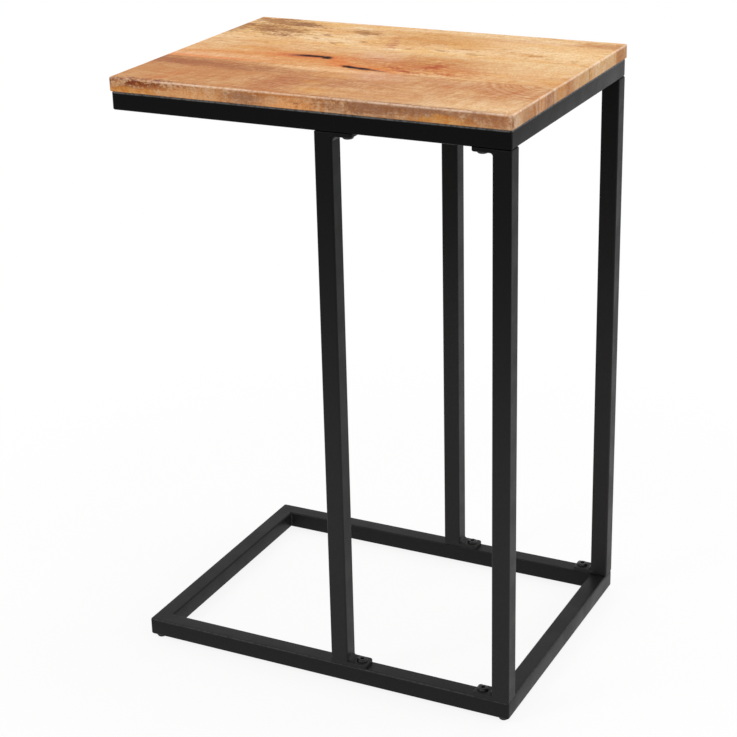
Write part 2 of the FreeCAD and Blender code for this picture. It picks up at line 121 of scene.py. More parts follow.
def mixed(tree, amount, below, above, blend="MIX"):
    """One colour over another."""
    made = put(tree, "ShaderNodeMix", data_type="RGBA", blend_type=blend, clamp_factor=True)
    sockets = (made.inputs[0], made.inputs[6], made.inputs[7])
    for socket, value in zip(sockets, (amount, below, above)):
        if isinstance(value, bpy.types.NodeSocket):
            tree.links.new(value, socket)
        else:
            socket.default_value = value
    return made.outputs[2]


def new_effect(name, inputs, outputs):
    """A node group with named inputs, each a kind and a default, and named outputs."""
    tree = bpy.data.node_groups.new(name, "ShaderNodeTree")
    for label, (kind, default) in inputs.items():
        socket = tree.interface.new_socket(label, in_out="INPUT", socket_type=f"NodeSocket{kind}")
        socket.default_value = default
    for label, kind in outputs.items():
        tree.interface.new_socket(label, in_out="OUTPUT", socket_type=f"NodeSocket{kind}")
    entry = tree.nodes.new("NodeGroupInput")
    leave = tree.nodes.new("NodeGroupOutput")
    return tree, entry.outputs, leave.inputs


def use(tree, effect, inputs):
    """Places an effect in a material with the material's own values, and gives its outputs."""
    return put(tree, "ShaderNodeGroup", inputs, node_tree=effect).outputs


def new_finish(name):
    """A material with its surface shader, and the place on the table in millimetres."""
    finish = bpy.data.materials.new(name)
    finish.use_nodes = True
    tree = finish.node_tree
    surface = tree.nodes["Principled BSDF"]
    where = tree.nodes.new("ShaderNodeTexCoord").outputs["Object"]
    return finish, tree, surface, vectors(tree, "MULTIPLY", where, (1000.0, 1000.0, 1000.0))


def set_height(tree, surface, height, depth):
    """Bumps the surface by a height from 0 to 1 that stands for a depth in millimetres."""
    bump = put(tree, "ShaderNodeBump", {"Height": height, "Distance": depth * MM})
    tree.links.new(bump.outputs[0], surface.inputs["Normal"])


# The skin that powder leaves when it melts: a soft orange peel with a finer grit on it.
powder, given, made = new_effect(
    "powder skin",
    {"Position": ("Vector", (0.0, 0.0, 0.0)), "Peel": ("Float", 0.5), "Grit": ("Float", 0.5)},
    {"Height": "Float", "Shade": "Float", "Polish": "Float"},
)
peel = speckle(powder, given["Position"], (0.55, 0.55, 0.55), 3.1)
grit = speckle(powder, given["Position"], (2.6, 2.6, 2.6), 8.4, 3.0)
cloud = speckle(powder, given["Position"], (0.03, 0.03, 0.03), 5.2, 4.0)
peel_height = maths(powder, "MULTIPLY", peel, given["Peel"])
grit_height = maths(powder, "MULTIPLY", grit, given["Grit"])
powder.links.new(maths(powder, "ADD", peel_height, grit_height), made["Height"])
powder.links.new(ease(powder, grit, 0.3, 0.75, 0.7, 1.5), made["Shade"])
powder.links.new(ease(powder, cloud, 0.3, 0.7), made["Polish"])


# Along an outer upper arris: a broken line, strongest at Start millimetres from the arris and gone
# at
# Reach. On the frames it is a painted highlight, on the wooden top a painted highlight with some
# wear.
arris_light, given, made = new_effect(
    "arris highlight and wear",
    {
        "Position": ("Vector", (0.0, 0.0, 0.0)),
        "Corner": ("Vector", (0.0, 0.0, 0.0)),
        "Start": ("Float", 0.0),
        "Reach": ("Float", 3.0),
    },
    {"Mask": "Float"},
)
folded = vectors(arris_light, "ABSOLUTE", given["Position"])
from_corner = vectors(arris_light, "SUBTRACT", given["Corner"], folded)
inset = put(arris_light, "ShaderNodeSeparateXYZ", {0: from_corner}).outputs
nearest = maths(arris_light, "ADD", maths(arris_light, "MINIMUM", inset[0], inset[1]), inset[2])
fleck = speckle(arris_light, given["Position"], (0.25, 0.25, 0.25), 9.0, 3.0)
above = ease(arris_light, nearest, maths(arris_light, "SUBTRACT", given["Start"], 1.0), given["Start"])
below = ease(arris_light, nearest, given["Start"], given["Reach"], 1.0, 0.0)
patchy = maths(arris_light, "MULTIPLY", ease(arris_light, fleck, 0.32, 0.6, 0.45, 1.0), below)
arris_light.links.new(maths(arris_light, "MULTIPLY", patchy, above), made["Mask"])


def powder_coat(name, black, peel, grit, dullness, sheen, upper=None, line=None, floor_lit=None):
    """Satin black powder coat.

    upper is the height of a frame's upper face. The frame shows the ground welds in its mitres,
    and along its outer upper arris a painted highlight, a grey line strongest and gone at the
    two distances in line. The last argument is the lighter grey that a post's coat turns to
    towards the floor, as painted floor light.
    """
    finish, tree, surface, position = new_finish(name)
    skin = use(tree, powder, {"Position": position, "Peel": peel, "Grit": grit})
    height = skin["Height"]
    if upper:
        parts = put(tree, "ShaderNodeSeparateXYZ", {0: vectors(tree, "ABSOLUTE", position)}).outputs
        diagonal = FRAME_CORNER[0] - FRAME_CORNER[1]
        across = maths(tree, "SUBTRACT", maths(tree, "SUBTRACT", parts[0], parts[1]), diagonal)
        strayed = maths(tree, "MULTIPLY_ADD", skin["Polish"], SEAM_STRAY, across)
        off_middle = maths(tree, "ABSOLUTE", strayed)
        seam = ease(tree, off_middle, SEAM_CREST, MITRE_SEAM, 1.0, 0.0)
        height = maths(tree, "MULTIPLY_ADD", seam, SEAM_RISE, height)
    surface.inputs["Specular IOR Level"].default_value = sheen
    pigment = paint(*black)
    # painted floor light: a post's black turns lighter towards the floor
    if floor_lit:
        level = put(tree, "ShaderNodeSeparateXYZ", {0: position}).outputs[2]
        pigment = mixed(tree, ease(tree, level, FLOOR_LIGHT_FROM, FLOOR_LIGHT_TO), paint(*floor_lit), pigment)
    colour = mixed(tree, 1.0, pigment, skin["Shade"], "MULTIPLY")
    # painted highlight along the frame's outer upper arris
    if upper:
        corner = (*FRAME_CORNER, upper)
        place = {"Position": position, "Corner": corner, "Start": line[0], "Reach": line[1]}
        colour = mixed(tree, use(tree, arris_light, place)["Mask"], colour, paint(*ARRIS_HIGHLIGHT_GREY))
    tree.links.new(colour, surface.inputs["Base Color"])
    dull = ease(tree, skin["Polish"], 0.0, 1.0, dullness - 0.04, dullness + 0.05)
    tree.links.new(dull, surface.inputs["Roughness"])
    set_height(tree, surface, height, depth=0.05)
    return finish


def dress(node, finish):
    """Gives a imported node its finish."""
    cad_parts[node].material_slots[0].material = finish


def finish_piece(name, mesh, finish, node):
    """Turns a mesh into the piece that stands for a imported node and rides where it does."""
    bmesh.ops.remove_doubles(mesh, verts=mesh.verts, dist=SAME_POINT)
    bmesh.ops.recalc_face_normals(mesh, faces=mesh.faces)
    data = bpy.data.meshes.new(name)
    mesh.to_mesh(data)
    mesh.free()
    data.materials.append(finish)
    data.shade_smooth()
    data.set_sharp_from_angle(angle=math.radians(SHARPEST_SMOOTH))
    piece = bpy.data.objects.new(name, data)
    bpy.context.scene.collection.objects.link(piece)
    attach(piece, "root")
    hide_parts(node)


def add_skin(mesh, loops, place):
    """A closed skin through loops of as many points each, with a face over each end."""
    rings = [[mesh.verts.new(place @ point) for point in loop] for loop in loops]
    around = len(rings[0])
    for below, above in zip(rings, rings[1:]):
        for n in range(around):
            m = (n + 1) % around
            mesh.faces.new((below[n], below[m], above[m], above[n]))
    mesh.faces.new(rings[0])
    mesh.faces.new(rings[-1])


def tube_section():
    """The outside of the tube as (depth behind the outer face, height), counter-clockwise."""
    near, far = TUBE_ROUND, TUBE - TUBE_ROUND
    section = []
    corners = ((near, near, 180), (far, near, 270), (far, far, 0), (near, far, 90))
    for depth, height, start in corners:
        if start == 270:
            section.append((MITRE_ROUND, 0))
        for step in range(TUBE_STEPS + 1):
            turn = math.radians(start + 90 / TUBE_STEPS * step)
            across, up = TUBE_ROUND * math.cos(turn), TUBE_ROUND * math.sin(turn)
            section.append((depth + across, height + up))
        if start == 0:
            section.append((MITRE_ROUND, TUBE))
    return section


def rail_loops(half):
    """A rail along X from -half to half, its outer face on y = 0. Each end is mitred, and the
    outer corner is ground round, so that the arc gets smaller behind the face until it is sharp."""
    loops = []
    for end in (-1, 1):
        turns = [math.radians(45 - 45 / MITRE_STEPS * step) for step in range(MITRE_STEPS + 1)]
        for turn in turns if end < 0 else reversed(turns):
            loop = []
            for depth, height in tube_section():
                arc = max(0, MITRE_ROUND - depth)
                centre = max(MITRE_ROUND, depth)
                inward = centre - arc * math.sin(turn)
                loop.append(Vector((end * (half - inward), centre - arc * math.cos(turn), height)))
            loops.append(loop)
    return loops


base_coat = powder_coat(
    "powder coat on base", COAT_BLACK, peel=0.6, grit=0.45, dullness=0.4, sheen=0.1,
    upper=BASE_FACE, line=(0.0, 3.0),
)
top_frame_coat = powder_coat(
    "powder coat on top frame", TOP_FRAME_SHADED_BLACK, peel=0.5, grit=0.4, dullness=0.27, sheen=0.05,
    upper=TOP_FRAME_FACE, line=(1.9, 3.6),
)

# A rail's box ends where its corner is ground away, which is 0.9 mm short of the frame's outer
# faces, so these rails stand that far inside the solid ones.
for frame_name, rail_coat in (("base", base_coat), ("top", top_frame_coat)):
    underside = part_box(f"{frame_name}_rail_front")[0].z
    half_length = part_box(f"{frame_name}_rail_front")[1].x
    half_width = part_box(f"{frame_name}_rail_right")[1].y
    for side, turn, half, reach in (
        ("front", 0, half_length, half_width),
        ("right", 90, half_width, half_length),
        ("back", 180, half_length, half_width),
        ("left", 270, half_width, half_length),
    ):
        rail = bmesh.new()
        turned = Matrix.Rotation(math.radians(turn), 4, "Z")
        add_skin(rail, rail_loops(half), turned @ Matrix.Translation((0, -reach, underside)))
        finish_piece(f"{frame_name}_tube_{side}", rail, rail_coat, f"{frame_name}_rail_{side}")


# ---------------------------------------------------------------- posts and end plates
# Four lengths of the same tube. A flat plate closes each end and runs on as an ear for one screw.
# Its edges are ground flush with the tube and rounded against the frame, which leaves a dark
# groove at the post's foot and head. The coat's black is painted lighter towards the floor as
# painted floor light, and darker at the head as painted shade.

# painted shade at the posts' heads and painted floor light at their feet
POST_HEAD_SHADED_BLACK = (5, 5, 5)
POST_FLOOR_LIT_BLACK = (38, 37, 37)
POSTS = ("front_middle", "back_middle", "front_end", "back_end")
EAR_ROUND = 3 * MM
PLATE_GROOVE = 1.4 * MM  # rounding under the post
PLATE_EASE = 0.4 * MM  # rounding under the ear
EAR_EASE = 1.5 * MM  # rounding over the ear
EAR_BLEND = 2 * MM  # length in which one rounding turns into the other
EDGE_STEPS = 5
CORNER_STEPS = 8
PLATE_SPACING = 4 * MM  # between points along a straight side
CAP_RIM = 0.3 * MM  # width of the flat rim that keeps the shading of a flat face even


def outline_run(corners, spacing):
    """Points along a path that turns left, each with the direction that faces out of it.

    corners holds x, y and the radius of each corner. The path starts and ends on a straight.
    """
    legs = [(Vector(b[:2]) - Vector(a[:2])).normalized() for a, b in zip(corners, corners[1:])]
    run = []
    start = Vector(corners[0][:2])
    for n, leg in enumerate(legs):
        corner = Vector(corners[n + 1][:2])
        radius = corners[n + 1][2]
        end = corner - leg * radius
        out = Vector((leg.y, -leg.x))
        pieces = max(1, round((end - start).length / spacing))
        run += [(start.lerp(end, k / pieces), out) for k in range(pieces + 1)]
        if radius:
            centre = end - out * radius
            for k in range(1, CORNER_STEPS):
                turned = Matrix.Rotation(math.radians(90 * k / CORNER_STEPS), 2) @ out
                run.append((centre + turned * radius, turned))
            start = corner + legs[n + 1] * radius
    return run


def slab_loops(run, height, below, above):
    """Loops up a slab whose lower edge is rounded by below(point) and its upper by above(point)."""
    loops = []
    quarter = [math.pi / 2 * step / EDGE_STEPS for step in range(EDGE_STEPS + 1)]
    low = [(below, 1 - math.sin(t), 1 - math.cos(t), 0) for t in quarter]
    high = [(above, 1 - math.cos(t), math.sin(t) - 1, height) for t in quarter]
    for radius_at, inset, rise, level in low + high:
        loops.append([
            Vector((*(point - out * inset * radius_at(point)), level + rise * radius_at(point)))
            for point, out in run
        ])
    for radius_at, level, where in ((below, 0, 0), (above, height, len(loops) + 1)):
        rim = []
        for point, out in run:
            inset = radius_at(point) + (CAP_RIM if radius_at(point) else 0)
            rim.append(Vector((*(point - out * inset), level)))
        loops.insert(where, rim)
    return loops


def ear_plate_loops(half_tube, ear_end, thickness):
    """Loops up a plate that lies on z = 0, with the post's axis at the origin and its ear on +X."""
    run = outline_run(
        [
            (-half_tube, 0, 0),
            (-half_tube, -half_tube, TUBE_ROUND),
            (ear_end, -half_tube, EAR_ROUND),
            (ear_end, half_tube, EAR_ROUND),
            (-half_tube, half_tube, TUBE_ROUND),
            (-half_tube, 0, 0),
        ],
        PLATE_SPACING,
    )[:-1]

    def on_ear(point):
        return min(1, max(0, (point.x - half_tube) / EAR_BLEND))

    return slab_loops(
        run,
        thickness,
        lambda point: PLATE_GROOVE + (PLATE_EASE - PLATE_GROOVE) * on_ear(point),
        lambda point: EAR_EASE * on_ear(point),
    )


post_coat = powder_coat(
    "powder coat on posts", POST_HEAD_SHADED_BLACK, peel=0.5, grit=0.5, dullness=0.42, sheen=0.09,
    floor_lit=POST_FLOOR_LIT_BLACK,
)
for post in POSTS:
    dress(f"post_{post}", post_coat)
    post_low, post_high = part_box(f"post_{post}")
    half_tube = (post_high.x - post_low.x) / 2
    axis = (post_low + post_high) / 2
    for joint in ("base", "top"):
        plate_low, plate_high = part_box(f"plate_{joint}_{post}")
        ear_end = plate_high.x - plate_low.x - half_tube
        loops = ear_plate_loops(half_tube, ear_end, plate_high.z - plate_low.z)
        seat = plate_low.z if joint == "base" else plate_high.z
        turned = Matrix.Rotation(math.pi if post.endswith("end") else 0, 4, "Z")
        standing = Matrix.Rotation(0 if joint == "base" else math.pi, 4, "X")
        plate = bmesh.new()
        add_skin(plate, loops, Matrix.Translation((axis.x, axis.y, seat)) @ turned @ standing)
        finish_piece(f"ear_plate_{joint}_{post}", plate, post_coat, f"plate_{joint}_{post}")


# ---------------------------------------------------------------- weld beads
# One bead runs across each joint in the corner between post and ear, and one stands in each inner
# corner of a frame. They were laid as rows of overlapping pools, so they are rippled, and the
# powder coat lies thick and glossy over them.

WELD_POOL = 1.6 * MM  # pitch of the pools
WELD_ROWS = 90
WELD_ARC = 10
WELD_HOLLOW = 0.65  # 0 for a flat bead, 1 for a round hollow that meets both faces smoothly
WELD_END = 0.3  # share of the bead's thickness that is left at its ends
WELD_BLUNTNESS = 10  # the higher, the nearer to its ends the bead keeps its thickness
WELD_RIPPLE = 0.08
POOL_LEVEL = 0.6  # height in a pool, from 0 to 1, where the bead is as thick as its legs say
POST_BEAD = (4.4 * MM, 5 * MM, 15.8 * MM)  # leg on the ear, leg up the post, length
CORNER_BEAD = (2.9 * MM, 2.9 * MM, 15.6 * MM)
weld_coat = powder_coat(
    "powder coat on welds", COAT_BLACK, peel=1.0, grit=0.25, dullness=0.33, sheen=0.14
)


def bead_loops(size, leg_a, leg_b, along):
    """A bead about the origin, in the corner between the two directions of its legs."""
    size_a, size_b, length = size
    loops = []
    for row in range(WELD_ROWS + 1):
        share = row / WELD_ROWS - 0.5
        taper = math.sqrt(max(0, 1 - abs(2 * share) ** WELD_BLUNTNESS))
        loop = [along * share * length]
        for step in range(WELD_ARC + 1):
            turn = math.pi / 2 * step / WELD_ARC
            bend = math.sin(2 * turn)
            pool = abs(math.sin(math.pi * (share * length / WELD_POOL - 0.5 * bend)))
            spread = math.cos(turn) + math.sin(turn)
            hollow = spread - math.sqrt(max(0, spread ** 2 - 1))
            form = (1 - WELD_HOLLOW) / spread + WELD_HOLLOW * hollow
            rippled = 1 + WELD_RIPPLE * bend * (pool ** 0.5 - POOL_LEVEL)
            reach = (WELD_END + (1 - WELD_END) * taper) * form * rippled
            point = leg_a * size_a * math.cos(turn) + leg_b * size_b * math.sin(turn)
            loop.append(along * share * length + point * reach)
        loops.append(loop)
    return loops


for joint, up in (("base", 1), ("top", -1)):
    beads = bmesh.new()
    for post in POSTS:
        post_low, post_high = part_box(f"post_{post}")
        plate_low, plate_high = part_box(f"plate_{joint}_{post}")
        out = -1 if post.endswith("end") else 1
        corner = Vector((
            post_high.x if out > 0 else post_low.x,
            (post_low.y + post_high.y) / 2,
            plate_high.z if up > 0 else plate_low.z,
        ))
        legs = (Vector((out, 0, 0)), Vector((0, 0, up)))
        loops = bead_loops(POST_BEAD, *legs, Vector((0, 1, 0)))
        add_skin(beads, loops, Matrix.Translation(corner))
    rail_low, rail_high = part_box(f"{joint}_rail_right")
    for right in (-1, 1):
        for back in (-1, 1):
            middle = (rail_low.z + rail_high.z) / 2
            corner = Vector((right * rail_low.x, back * (rail_high.y - TUBE), middle))
            legs = (Vector((-right, 0, 0)), Vector((0, -back, 0)))
            loops = bead_loops(CORNER_BEAD, *legs, Vector((0, 0, 1)))
            add_skin(beads, loops, Matrix.Translation(corner))
    finish_piece(f"weld_beads_{joint}", beads, weld_coat, f"{joint}_welds")


# ---------------------------------------------------------------- screws and bushes
# A button-head screw with a hexagon socket goes through each ear into a hexagonal steel bush that
# is pressed into the rail. The screws are black oxide steel, oiled, and the bushes are zinc plated.

AROUND = 48  # points round a turned piece, a multiple of six so that hexagons keep their corners
HEAD_RADIUS = 6 * MM
HEAD_HEIGHT = 3 * MM
HEAD_FLAT = 3.5 * MM
HEAD_RIM = 0.6 * MM
HEAD_BEVEL = 0.2 * MM
HEAD_BEVEL_HEIGHT = 0.15 * MM
SHANK_RADIUS = 2.95 * MM
SHANK_LENGTH = 16 * MM
TIP_RADIUS = 2.15 * MM
TIP_LENGTH = 0.5 * MM
PLAIN_LENGTH = 1.5 * MM  # what has no thread, at the tip and under the head
THREAD_PITCH = 1.0 * MM
THREAD_DEPTH = 0.45 * MM
DOME_STEPS = 10
DOME_FULLNESS = 0.8  # 1 is a quarter of an ellipse, and less is fuller
SOCKET_APOTHEM = 2.0 * MM
SOCKET_DEPTH = 2.0 * MM
SOCKET_BEVEL = 0.25 * MM
SOCKET_CUT = 0.99  # share of the corner radius that is left at the bevel


def round_loop(radius, height):
    """A circle about the Z axis, as points."""
    turns = [2 * math.pi * n / AROUND for n in range(AROUND)]
    return [Vector((radius * math.cos(t), radius * math.sin(t), height)) for t in turns]


def hexagon_loop(apothem, height, limit=1.0):
    """A hexagon with corners on X, its corners cut by a circle of limit times the corner radius."""
    corner = apothem / math.cos(math.pi / 6) * limit
    loop = []
    for n in range(AROUND):
        turn = 2 * math.pi * n / AROUND
        radius = min(apothem / math.cos(turn % (math.pi / 3) - math.pi / 6), corner)
        loop.append(Vector((radius * math.cos(turn), radius * math.sin(turn), height)))
    return loop


def four_places(node, half_x, half_y):
    """Where the four pieces of a node stand, from its box and half the size of one piece."""
    low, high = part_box(node)
    for x in (low.x + half_x, high.x - half_x):
        for y in (low.y + half_y, high.y - half_y):
            yield Vector((x, y, 0))


def button_screw_loops():
    """From the tip up the ringed thread, over the domed head and down into the socket."""
    loops = [round_loop(TIP_RADIUS, -SHANK_LENGTH)]
    for turn in range(int((SHANK_LENGTH - PLAIN_LENGTH) / THREAD_PITCH)):
        foot = -SHANK_LENGTH + TIP_LENGTH + turn * THREAD_PITCH
        loops.append(round_loop(SHANK_RADIUS - THREAD_DEPTH, foot))
        loops.append(round_loop(SHANK_RADIUS, foot + THREAD_PITCH / 2))
    loops.append(round_loop(SHANK_RADIUS, 0))
    loops.append(round_loop(HEAD_RADIUS - HEAD_BEVEL, 0))
    loops.append(round_loop(HEAD_RADIUS, HEAD_BEVEL_HEIGHT))
    for step in range(DOME_STEPS + 1):
        turn = math.pi / 2 * step / DOME_STEPS
        reach = HEAD_FLAT + (HEAD_RADIUS - HEAD_FLAT) * math.cos(turn) ** DOME_FULLNESS
        loops.append(round_loop(reach, HEAD_RIM + (HEAD_HEIGHT - HEAD_RIM) * math.sin(turn)))
    loops.append(hexagon_loop(SOCKET_APOTHEM + SOCKET_BEVEL, HEAD_HEIGHT, SOCKET_CUT))
    loops.append(hexagon_loop(SOCKET_APOTHEM, HEAD_HEIGHT - SOCKET_BEVEL))
    loops.append(hexagon_loop(SOCKET_APOTHEM, HEAD_HEIGHT - SOCKET_DEPTH))
    return loops


def oiled_black():
    """Black oxide: dark steel whose thin oil film varies in gloss."""
    finish, tree, surface, position = new_finish("black oxide screws")
    skin = use(tree, powder, {"Position": position, "Peel": 0.3, "Grit": 0.7})
    colour = mixed(tree, skin["Polish"], paint(30, 30, 32), paint(46, 45, 45))
    tree.links.new(colour, surface.inputs["Base Color"])
    tree.links.new(ease(tree, skin["Shade"], 0.7, 1.5, 0.3, 0.46), surface.inputs["Roughness"])
    surface.inputs["Metallic"].default_value = 0.7
    set_height(tree, surface, skin["Height"], depth=0.02)
    return finish


def zinc_plate():
    """Bright zinc with a faint bluish and yellowish cast and fine drawing lines."""
    finish, tree, surface, position = new_finish("zinc plate")
    cast = speckle(tree, position, (0.15, 0.15, 0.15), 2.7, 3.0)
    lines = speckle(tree, position, (0.6, 0.6, 9.0), 6.1, 2.0)
    colour = mixed(tree, ease(tree, cast, 0.35, 0.65), paint(196, 200, 206), paint(206, 200, 184))
    tree.links.new(colour, surface.inputs["Base Color"])
    tree.links.new(ease(tree, lines, 0.3, 0.7, 0.26, 0.42), surface.inputs["Roughness"])
    surface.inputs["Metallic"].default_value = 1.0
    set_height(tree, surface, lines, depth=0.015)
    return finish


black_oxide = oiled_black()
zinc = zinc_plate()
for joint, up in (("base", 1), ("top", -1)):
    seat_low, seat_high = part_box(f"plate_{joint}_front_end")
    seat = Vector((0, 0, seat_high.z if up > 0 else seat_low.z))
    standing = Matrix.Rotation(0 if up > 0 else math.pi, 4, "X")
    screws = bmesh.new()
    for number, spot in enumerate(four_places(f"{joint}_screws", HEAD_RADIUS, HEAD_RADIUS)):
        driven = Matrix.Rotation(math.radians(14 + 37 * number), 4, "Z")  # no two stopped alike
        add_skin(screws, button_screw_loops(), Matrix.Translation(spot + seat) @ standing @ driven)
    finish_piece(f"button_screws_{joint}", screws, black_oxide, f"{joint}_screws")
    dress(f"{joint}_bushes", zinc)


# ---------------------------------------------------------------- rubber feet
# A domed foot is stuck under each corner of the base and keeps the steel off the floor. They are
# moulded in black rubber, slightly rough from the mould.

FOOT_RADIUS = 6 * MM
FOOT_FLAT = 3 * MM
FOOT_STEPS = 12
FOOT_DOME = 0.92  # share of the foot's height that is domed, the rest being its rim
FOOT_FULLNESS = 0.9


def moulded_rubber():
    """Black rubber with the fine grain of its mould."""
    finish, tree, surface, position = new_finish("moulded rubber")
    grain = speckle(tree, position, (2.2, 2.2, 2.2), 1.4, 3.0)
    colour = mixed(tree, grain, paint(18, 18, 18), paint(32, 31, 31))
    tree.links.new(colour, surface.inputs["Base Color"])
    tree.links.new(ease(tree, grain, 0.3, 0.7, 0.62, 0.8), surface.inputs["Roughness"])
    surface.inputs["Specular IOR Level"].default_value = 0.3
    set_height(tree, surface, grain, depth=0.03)
    return finish


def foot_loops():
    """From the flat on the floor up the dome to the rim against the tube."""
    floor, seat = (corner.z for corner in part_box("rubber_feet"))
    loops = []
    for step in range(FOOT_STEPS + 1):
        turn = math.pi / 2 * step / FOOT_STEPS
        reach = FOOT_FLAT + (FOOT_RADIUS - FOOT_FLAT) * math.sin(turn) ** FOOT_FULLNESS
        loops.append(round_loop(reach, floor + (seat - floor) * (1 - math.cos(turn)) * FOOT_DOME))
    loops.append(round_loop(FOOT_RADIUS, seat))
    return loops


feet = bmesh.new()
for spot in four_places("rubber_feet", FOOT_RADIUS, FOOT_RADIUS):
    add_skin(feet, foot_loops(), Matrix.Translation(spot))
finish_piece("domed_feet", feet, moulded_rubber(), "rubber_feet")


# ---------------------------------------------------------------- wooden top
# Four boards of solid mango, glued edge to edge, planed flush, eased by hand and lacquered. The
# front one is brown, the middle one has two black checks in an orange stain, and the two behind
# are cream with grey-brown spalt.

# Wood grain of one board. Heart is where the middle of the tree was, in millimetres, and Ring
# the mean width of its rings.
grain, given, made = new_effect(
    "board grain",
    {
        "Position": ("Vector", (0.0, 0.0, 0.0)),
        "Heart": ("Vector", (0.0, 0.0, 0.0)),
        "Ring": ("Float", 5.0),
        "Wander": ("Float", 10.0),
        "Seed": ("Float", 0.0),
    },
    {
        "Tone": "Float", "Rings": "Float", "Bands": "Float", "Fibres": "Float", "Pores": "Float",
        "Figure": "Float", "Flecks": "Float", "Honey": "Float", "Ragged": "Float", "Grit": "Float",
    },
)
seed = given["Seed"]
shift = put(grain, "ShaderNodeCombineXYZ", {0: seed, 1: seed, 2: seed}).outputs[0]
apart = vectors(grain, "MULTIPLY", shift, (97.0, 31.0, 13.0))
seeded = vectors(grain, "ADD", given["Position"], apart)
from_heart = vectors(grain, "SUBTRACT", given["Position"], given["Heart"])
radius = length_of(grain, vectors(grain, "MULTIPLY", from_heart, (0.05, 1.0, 1.0)))
wave = maths(grain, "SUBTRACT", speckle(grain, seeded, (0.006, 0.022, 0.022), 1.0, 3.0), 0.5)
bent = maths(grain, "MULTIPLY_ADD", wave, given["Wander"], radius)
ring_number = maths(grain, "ADD", maths(grain, "DIVIDE", bent, given["Ring"]), seed)
ring_inputs = {"W": ring_number, "Scale": 1.0, "Detail": 4.0, "Roughness": 0.7}
rings = put(grain, "ShaderNodeTexNoise", ring_inputs, noise_dimensions="1D").outputs["Fac"]
grain.links.new(ease(grain, rings, 0.3, 0.7), made["Rings"])

# What runs along the board: its fineness, seed and detail, and the noise where it starts and is
# at its full strength.
for feature, fineness, start, detail, low, high in (
    ("Tone", (0.012, 0.034, 0.034), 1.7, 5.0, 0.34, 0.66),
    ("Bands", (0.022, 0.26, 0.26), 8.0, 4.0, 0.32, 0.68),
    ("Fibres", (0.06, 0.8, 0.8), 2.0, 4.0, 0.3, 0.7),
    ("Pores", (0.17, 2.0, 2.0), 3.0, 1.0, 0.6, 0.72),
    ("Flecks", (0.08, 0.2, 0.2), 6.5, 3.0, 0.56, 0.68),
    ("Honey", (0.02, 0.05, 0.05), 9.5, 4.0, 0.5, 0.68),
    ("Grit", (0.5, 0.25, 0.5), 12.5, 3.0, 0.36, 0.62),
):
    streaked = speckle(grain, seeded, fineness, start, detail)
    grain.links.new(ease(grain, streaked, low, high), made[feature])

# The ripple figure runs across the grain, at a slant, and comes and goes.
slant = {"Vector": seeded, "Angle": math.radians(18)}
slanted = put(grain, "ShaderNodeVectorRotate", slant, rotation_type="Z_AXIS").outputs[0]
ripple = ease(grain, speckle(grain, slanted, (0.2, 0.04, 0.05), 4.0, 4.0), 0.35, 0.65, -1.0, 1.0)
patches = ease(grain, speckle(grain, seeded, (0.012, 0.02, 0.02), 5.0, 2.0), 0.34, 0.6, 0.25, 1.0)
grain.links.new(maths(grain, "MULTIPLY", ripple, patches), made["Figure"])

# What frays the edges of marks, about 0.
streaks = speckle(grain, seeded, (0.028, 0.2, 0.2), 6.0, 4.0)
blots = speckle(grain, seeded, (0.11, 0.16, 0.16), 7.0, 4.0)
crumbs = speckle(grain, seeded, (0.28, 0.42, 0.42), 11.0, 3.0)
torn = maths(grain, "ADD", maths(grain, "ADD", streaks, blots), crumbs)
grain.links.new(maths(grain, "SUBTRACT", torn, 1.5), made["Ragged"])

# A stain, streak or check in the wood: an oval with a soft or a ragged edge.
mark, given, made = new_effect(
    "mark in the wood",
    {
        "Position": ("Vector", (0.0, 0.0, 0.0)),
        "Middle": ("Vector", (0.0, 0.0, 0.0)),
        "Half size": ("Vector", (1.0, 1.0, 1.0)),
        "Turn": ("Float", 0.0),
        "Soft": ("Float", 0.5),
        "Ragged": ("Float", 0.0),
        "Strength": ("Float", 1.0),
    },
    {"Mask": "Float"},
)
away = vectors(mark, "SUBTRACT", given["Position"], given["Middle"])
back_turn = {"Vector": away, "Angle": maths(mark, "MULTIPLY", given["Turn"], -1.0)}
level = put(mark, "ShaderNodeVectorRotate", back_turn, rotation_type="Z_AXIS").outputs[0]
distance = length_of(mark, vectors(mark, "DIVIDE", level, given["Half size"]))
frayed = maths(mark, "ADD", distance, given["Ragged"])
inner = maths(mark, "SUBTRACT", 1.0, given["Soft"])
outer = maths(mark, "ADD", 1.0, given["Soft"])
mask = maths(mark, "MULTIPLY", ease(mark, frayed, inner, outer, 1.0, 0.0), given["Strength"])
mark.links.new(mask, made["Mask"])

# Where a branch left the trunk, the grain curls round it in pale and dark lines.
curl, given, made = new_effect(
    "curl round a branch",
    {
        "Position": ("Vector", (0.0, 0.0, 0.0)),
        "Middle": ("Vector", (0.0, 0.0, 0.0)),
        "Squash": ("Vector", (1.0, 1.0, 1.0)),
        "Spacing": ("Float", 6.0),
        "Reach": ("Float", 60.0),
        "Ragged": ("Float", 0.0),
    },
    {"Wave": "Float"},
)
away = vectors(curl, "SUBTRACT", given["Position"], given["Middle"])
round_branch = length_of(curl, vectors(curl, "MULTIPLY", away, given["Squash"]))
distance = maths(curl, "MULTIPLY_ADD", given["Ragged"], 4.0, round_branch)
line_inputs = {"W": maths(curl, "DIVIDE", distance, given["Spacing"]), "Scale": 1.0, "Detail": 2.0}
lines = put(curl, "ShaderNodeTexNoise", line_inputs, noise_dimensions="1D").outputs["Fac"]
near = ease(curl, maths(curl, "DIVIDE", distance, given["Reach"]), 0.6, 1.0, 1.0, 0.0)
wave = maths(curl, "MULTIPLY", ease(curl, lines, 0.35, 0.65, -1.0, 1.0), near)
curl.links.new(wave, made["Wave"])

FACE = 665  # mm, height of the top face
FRONT = -165  # mm, at the front edge
END = 226  # mm, just past the right end
THROUGH = 40  # mm, half the depth of a mark that goes right through the board
CHECK_DEPTH = 3  # mm
OPEN = 1.0  # strength of a check, which is an open crack and so sunk and dull

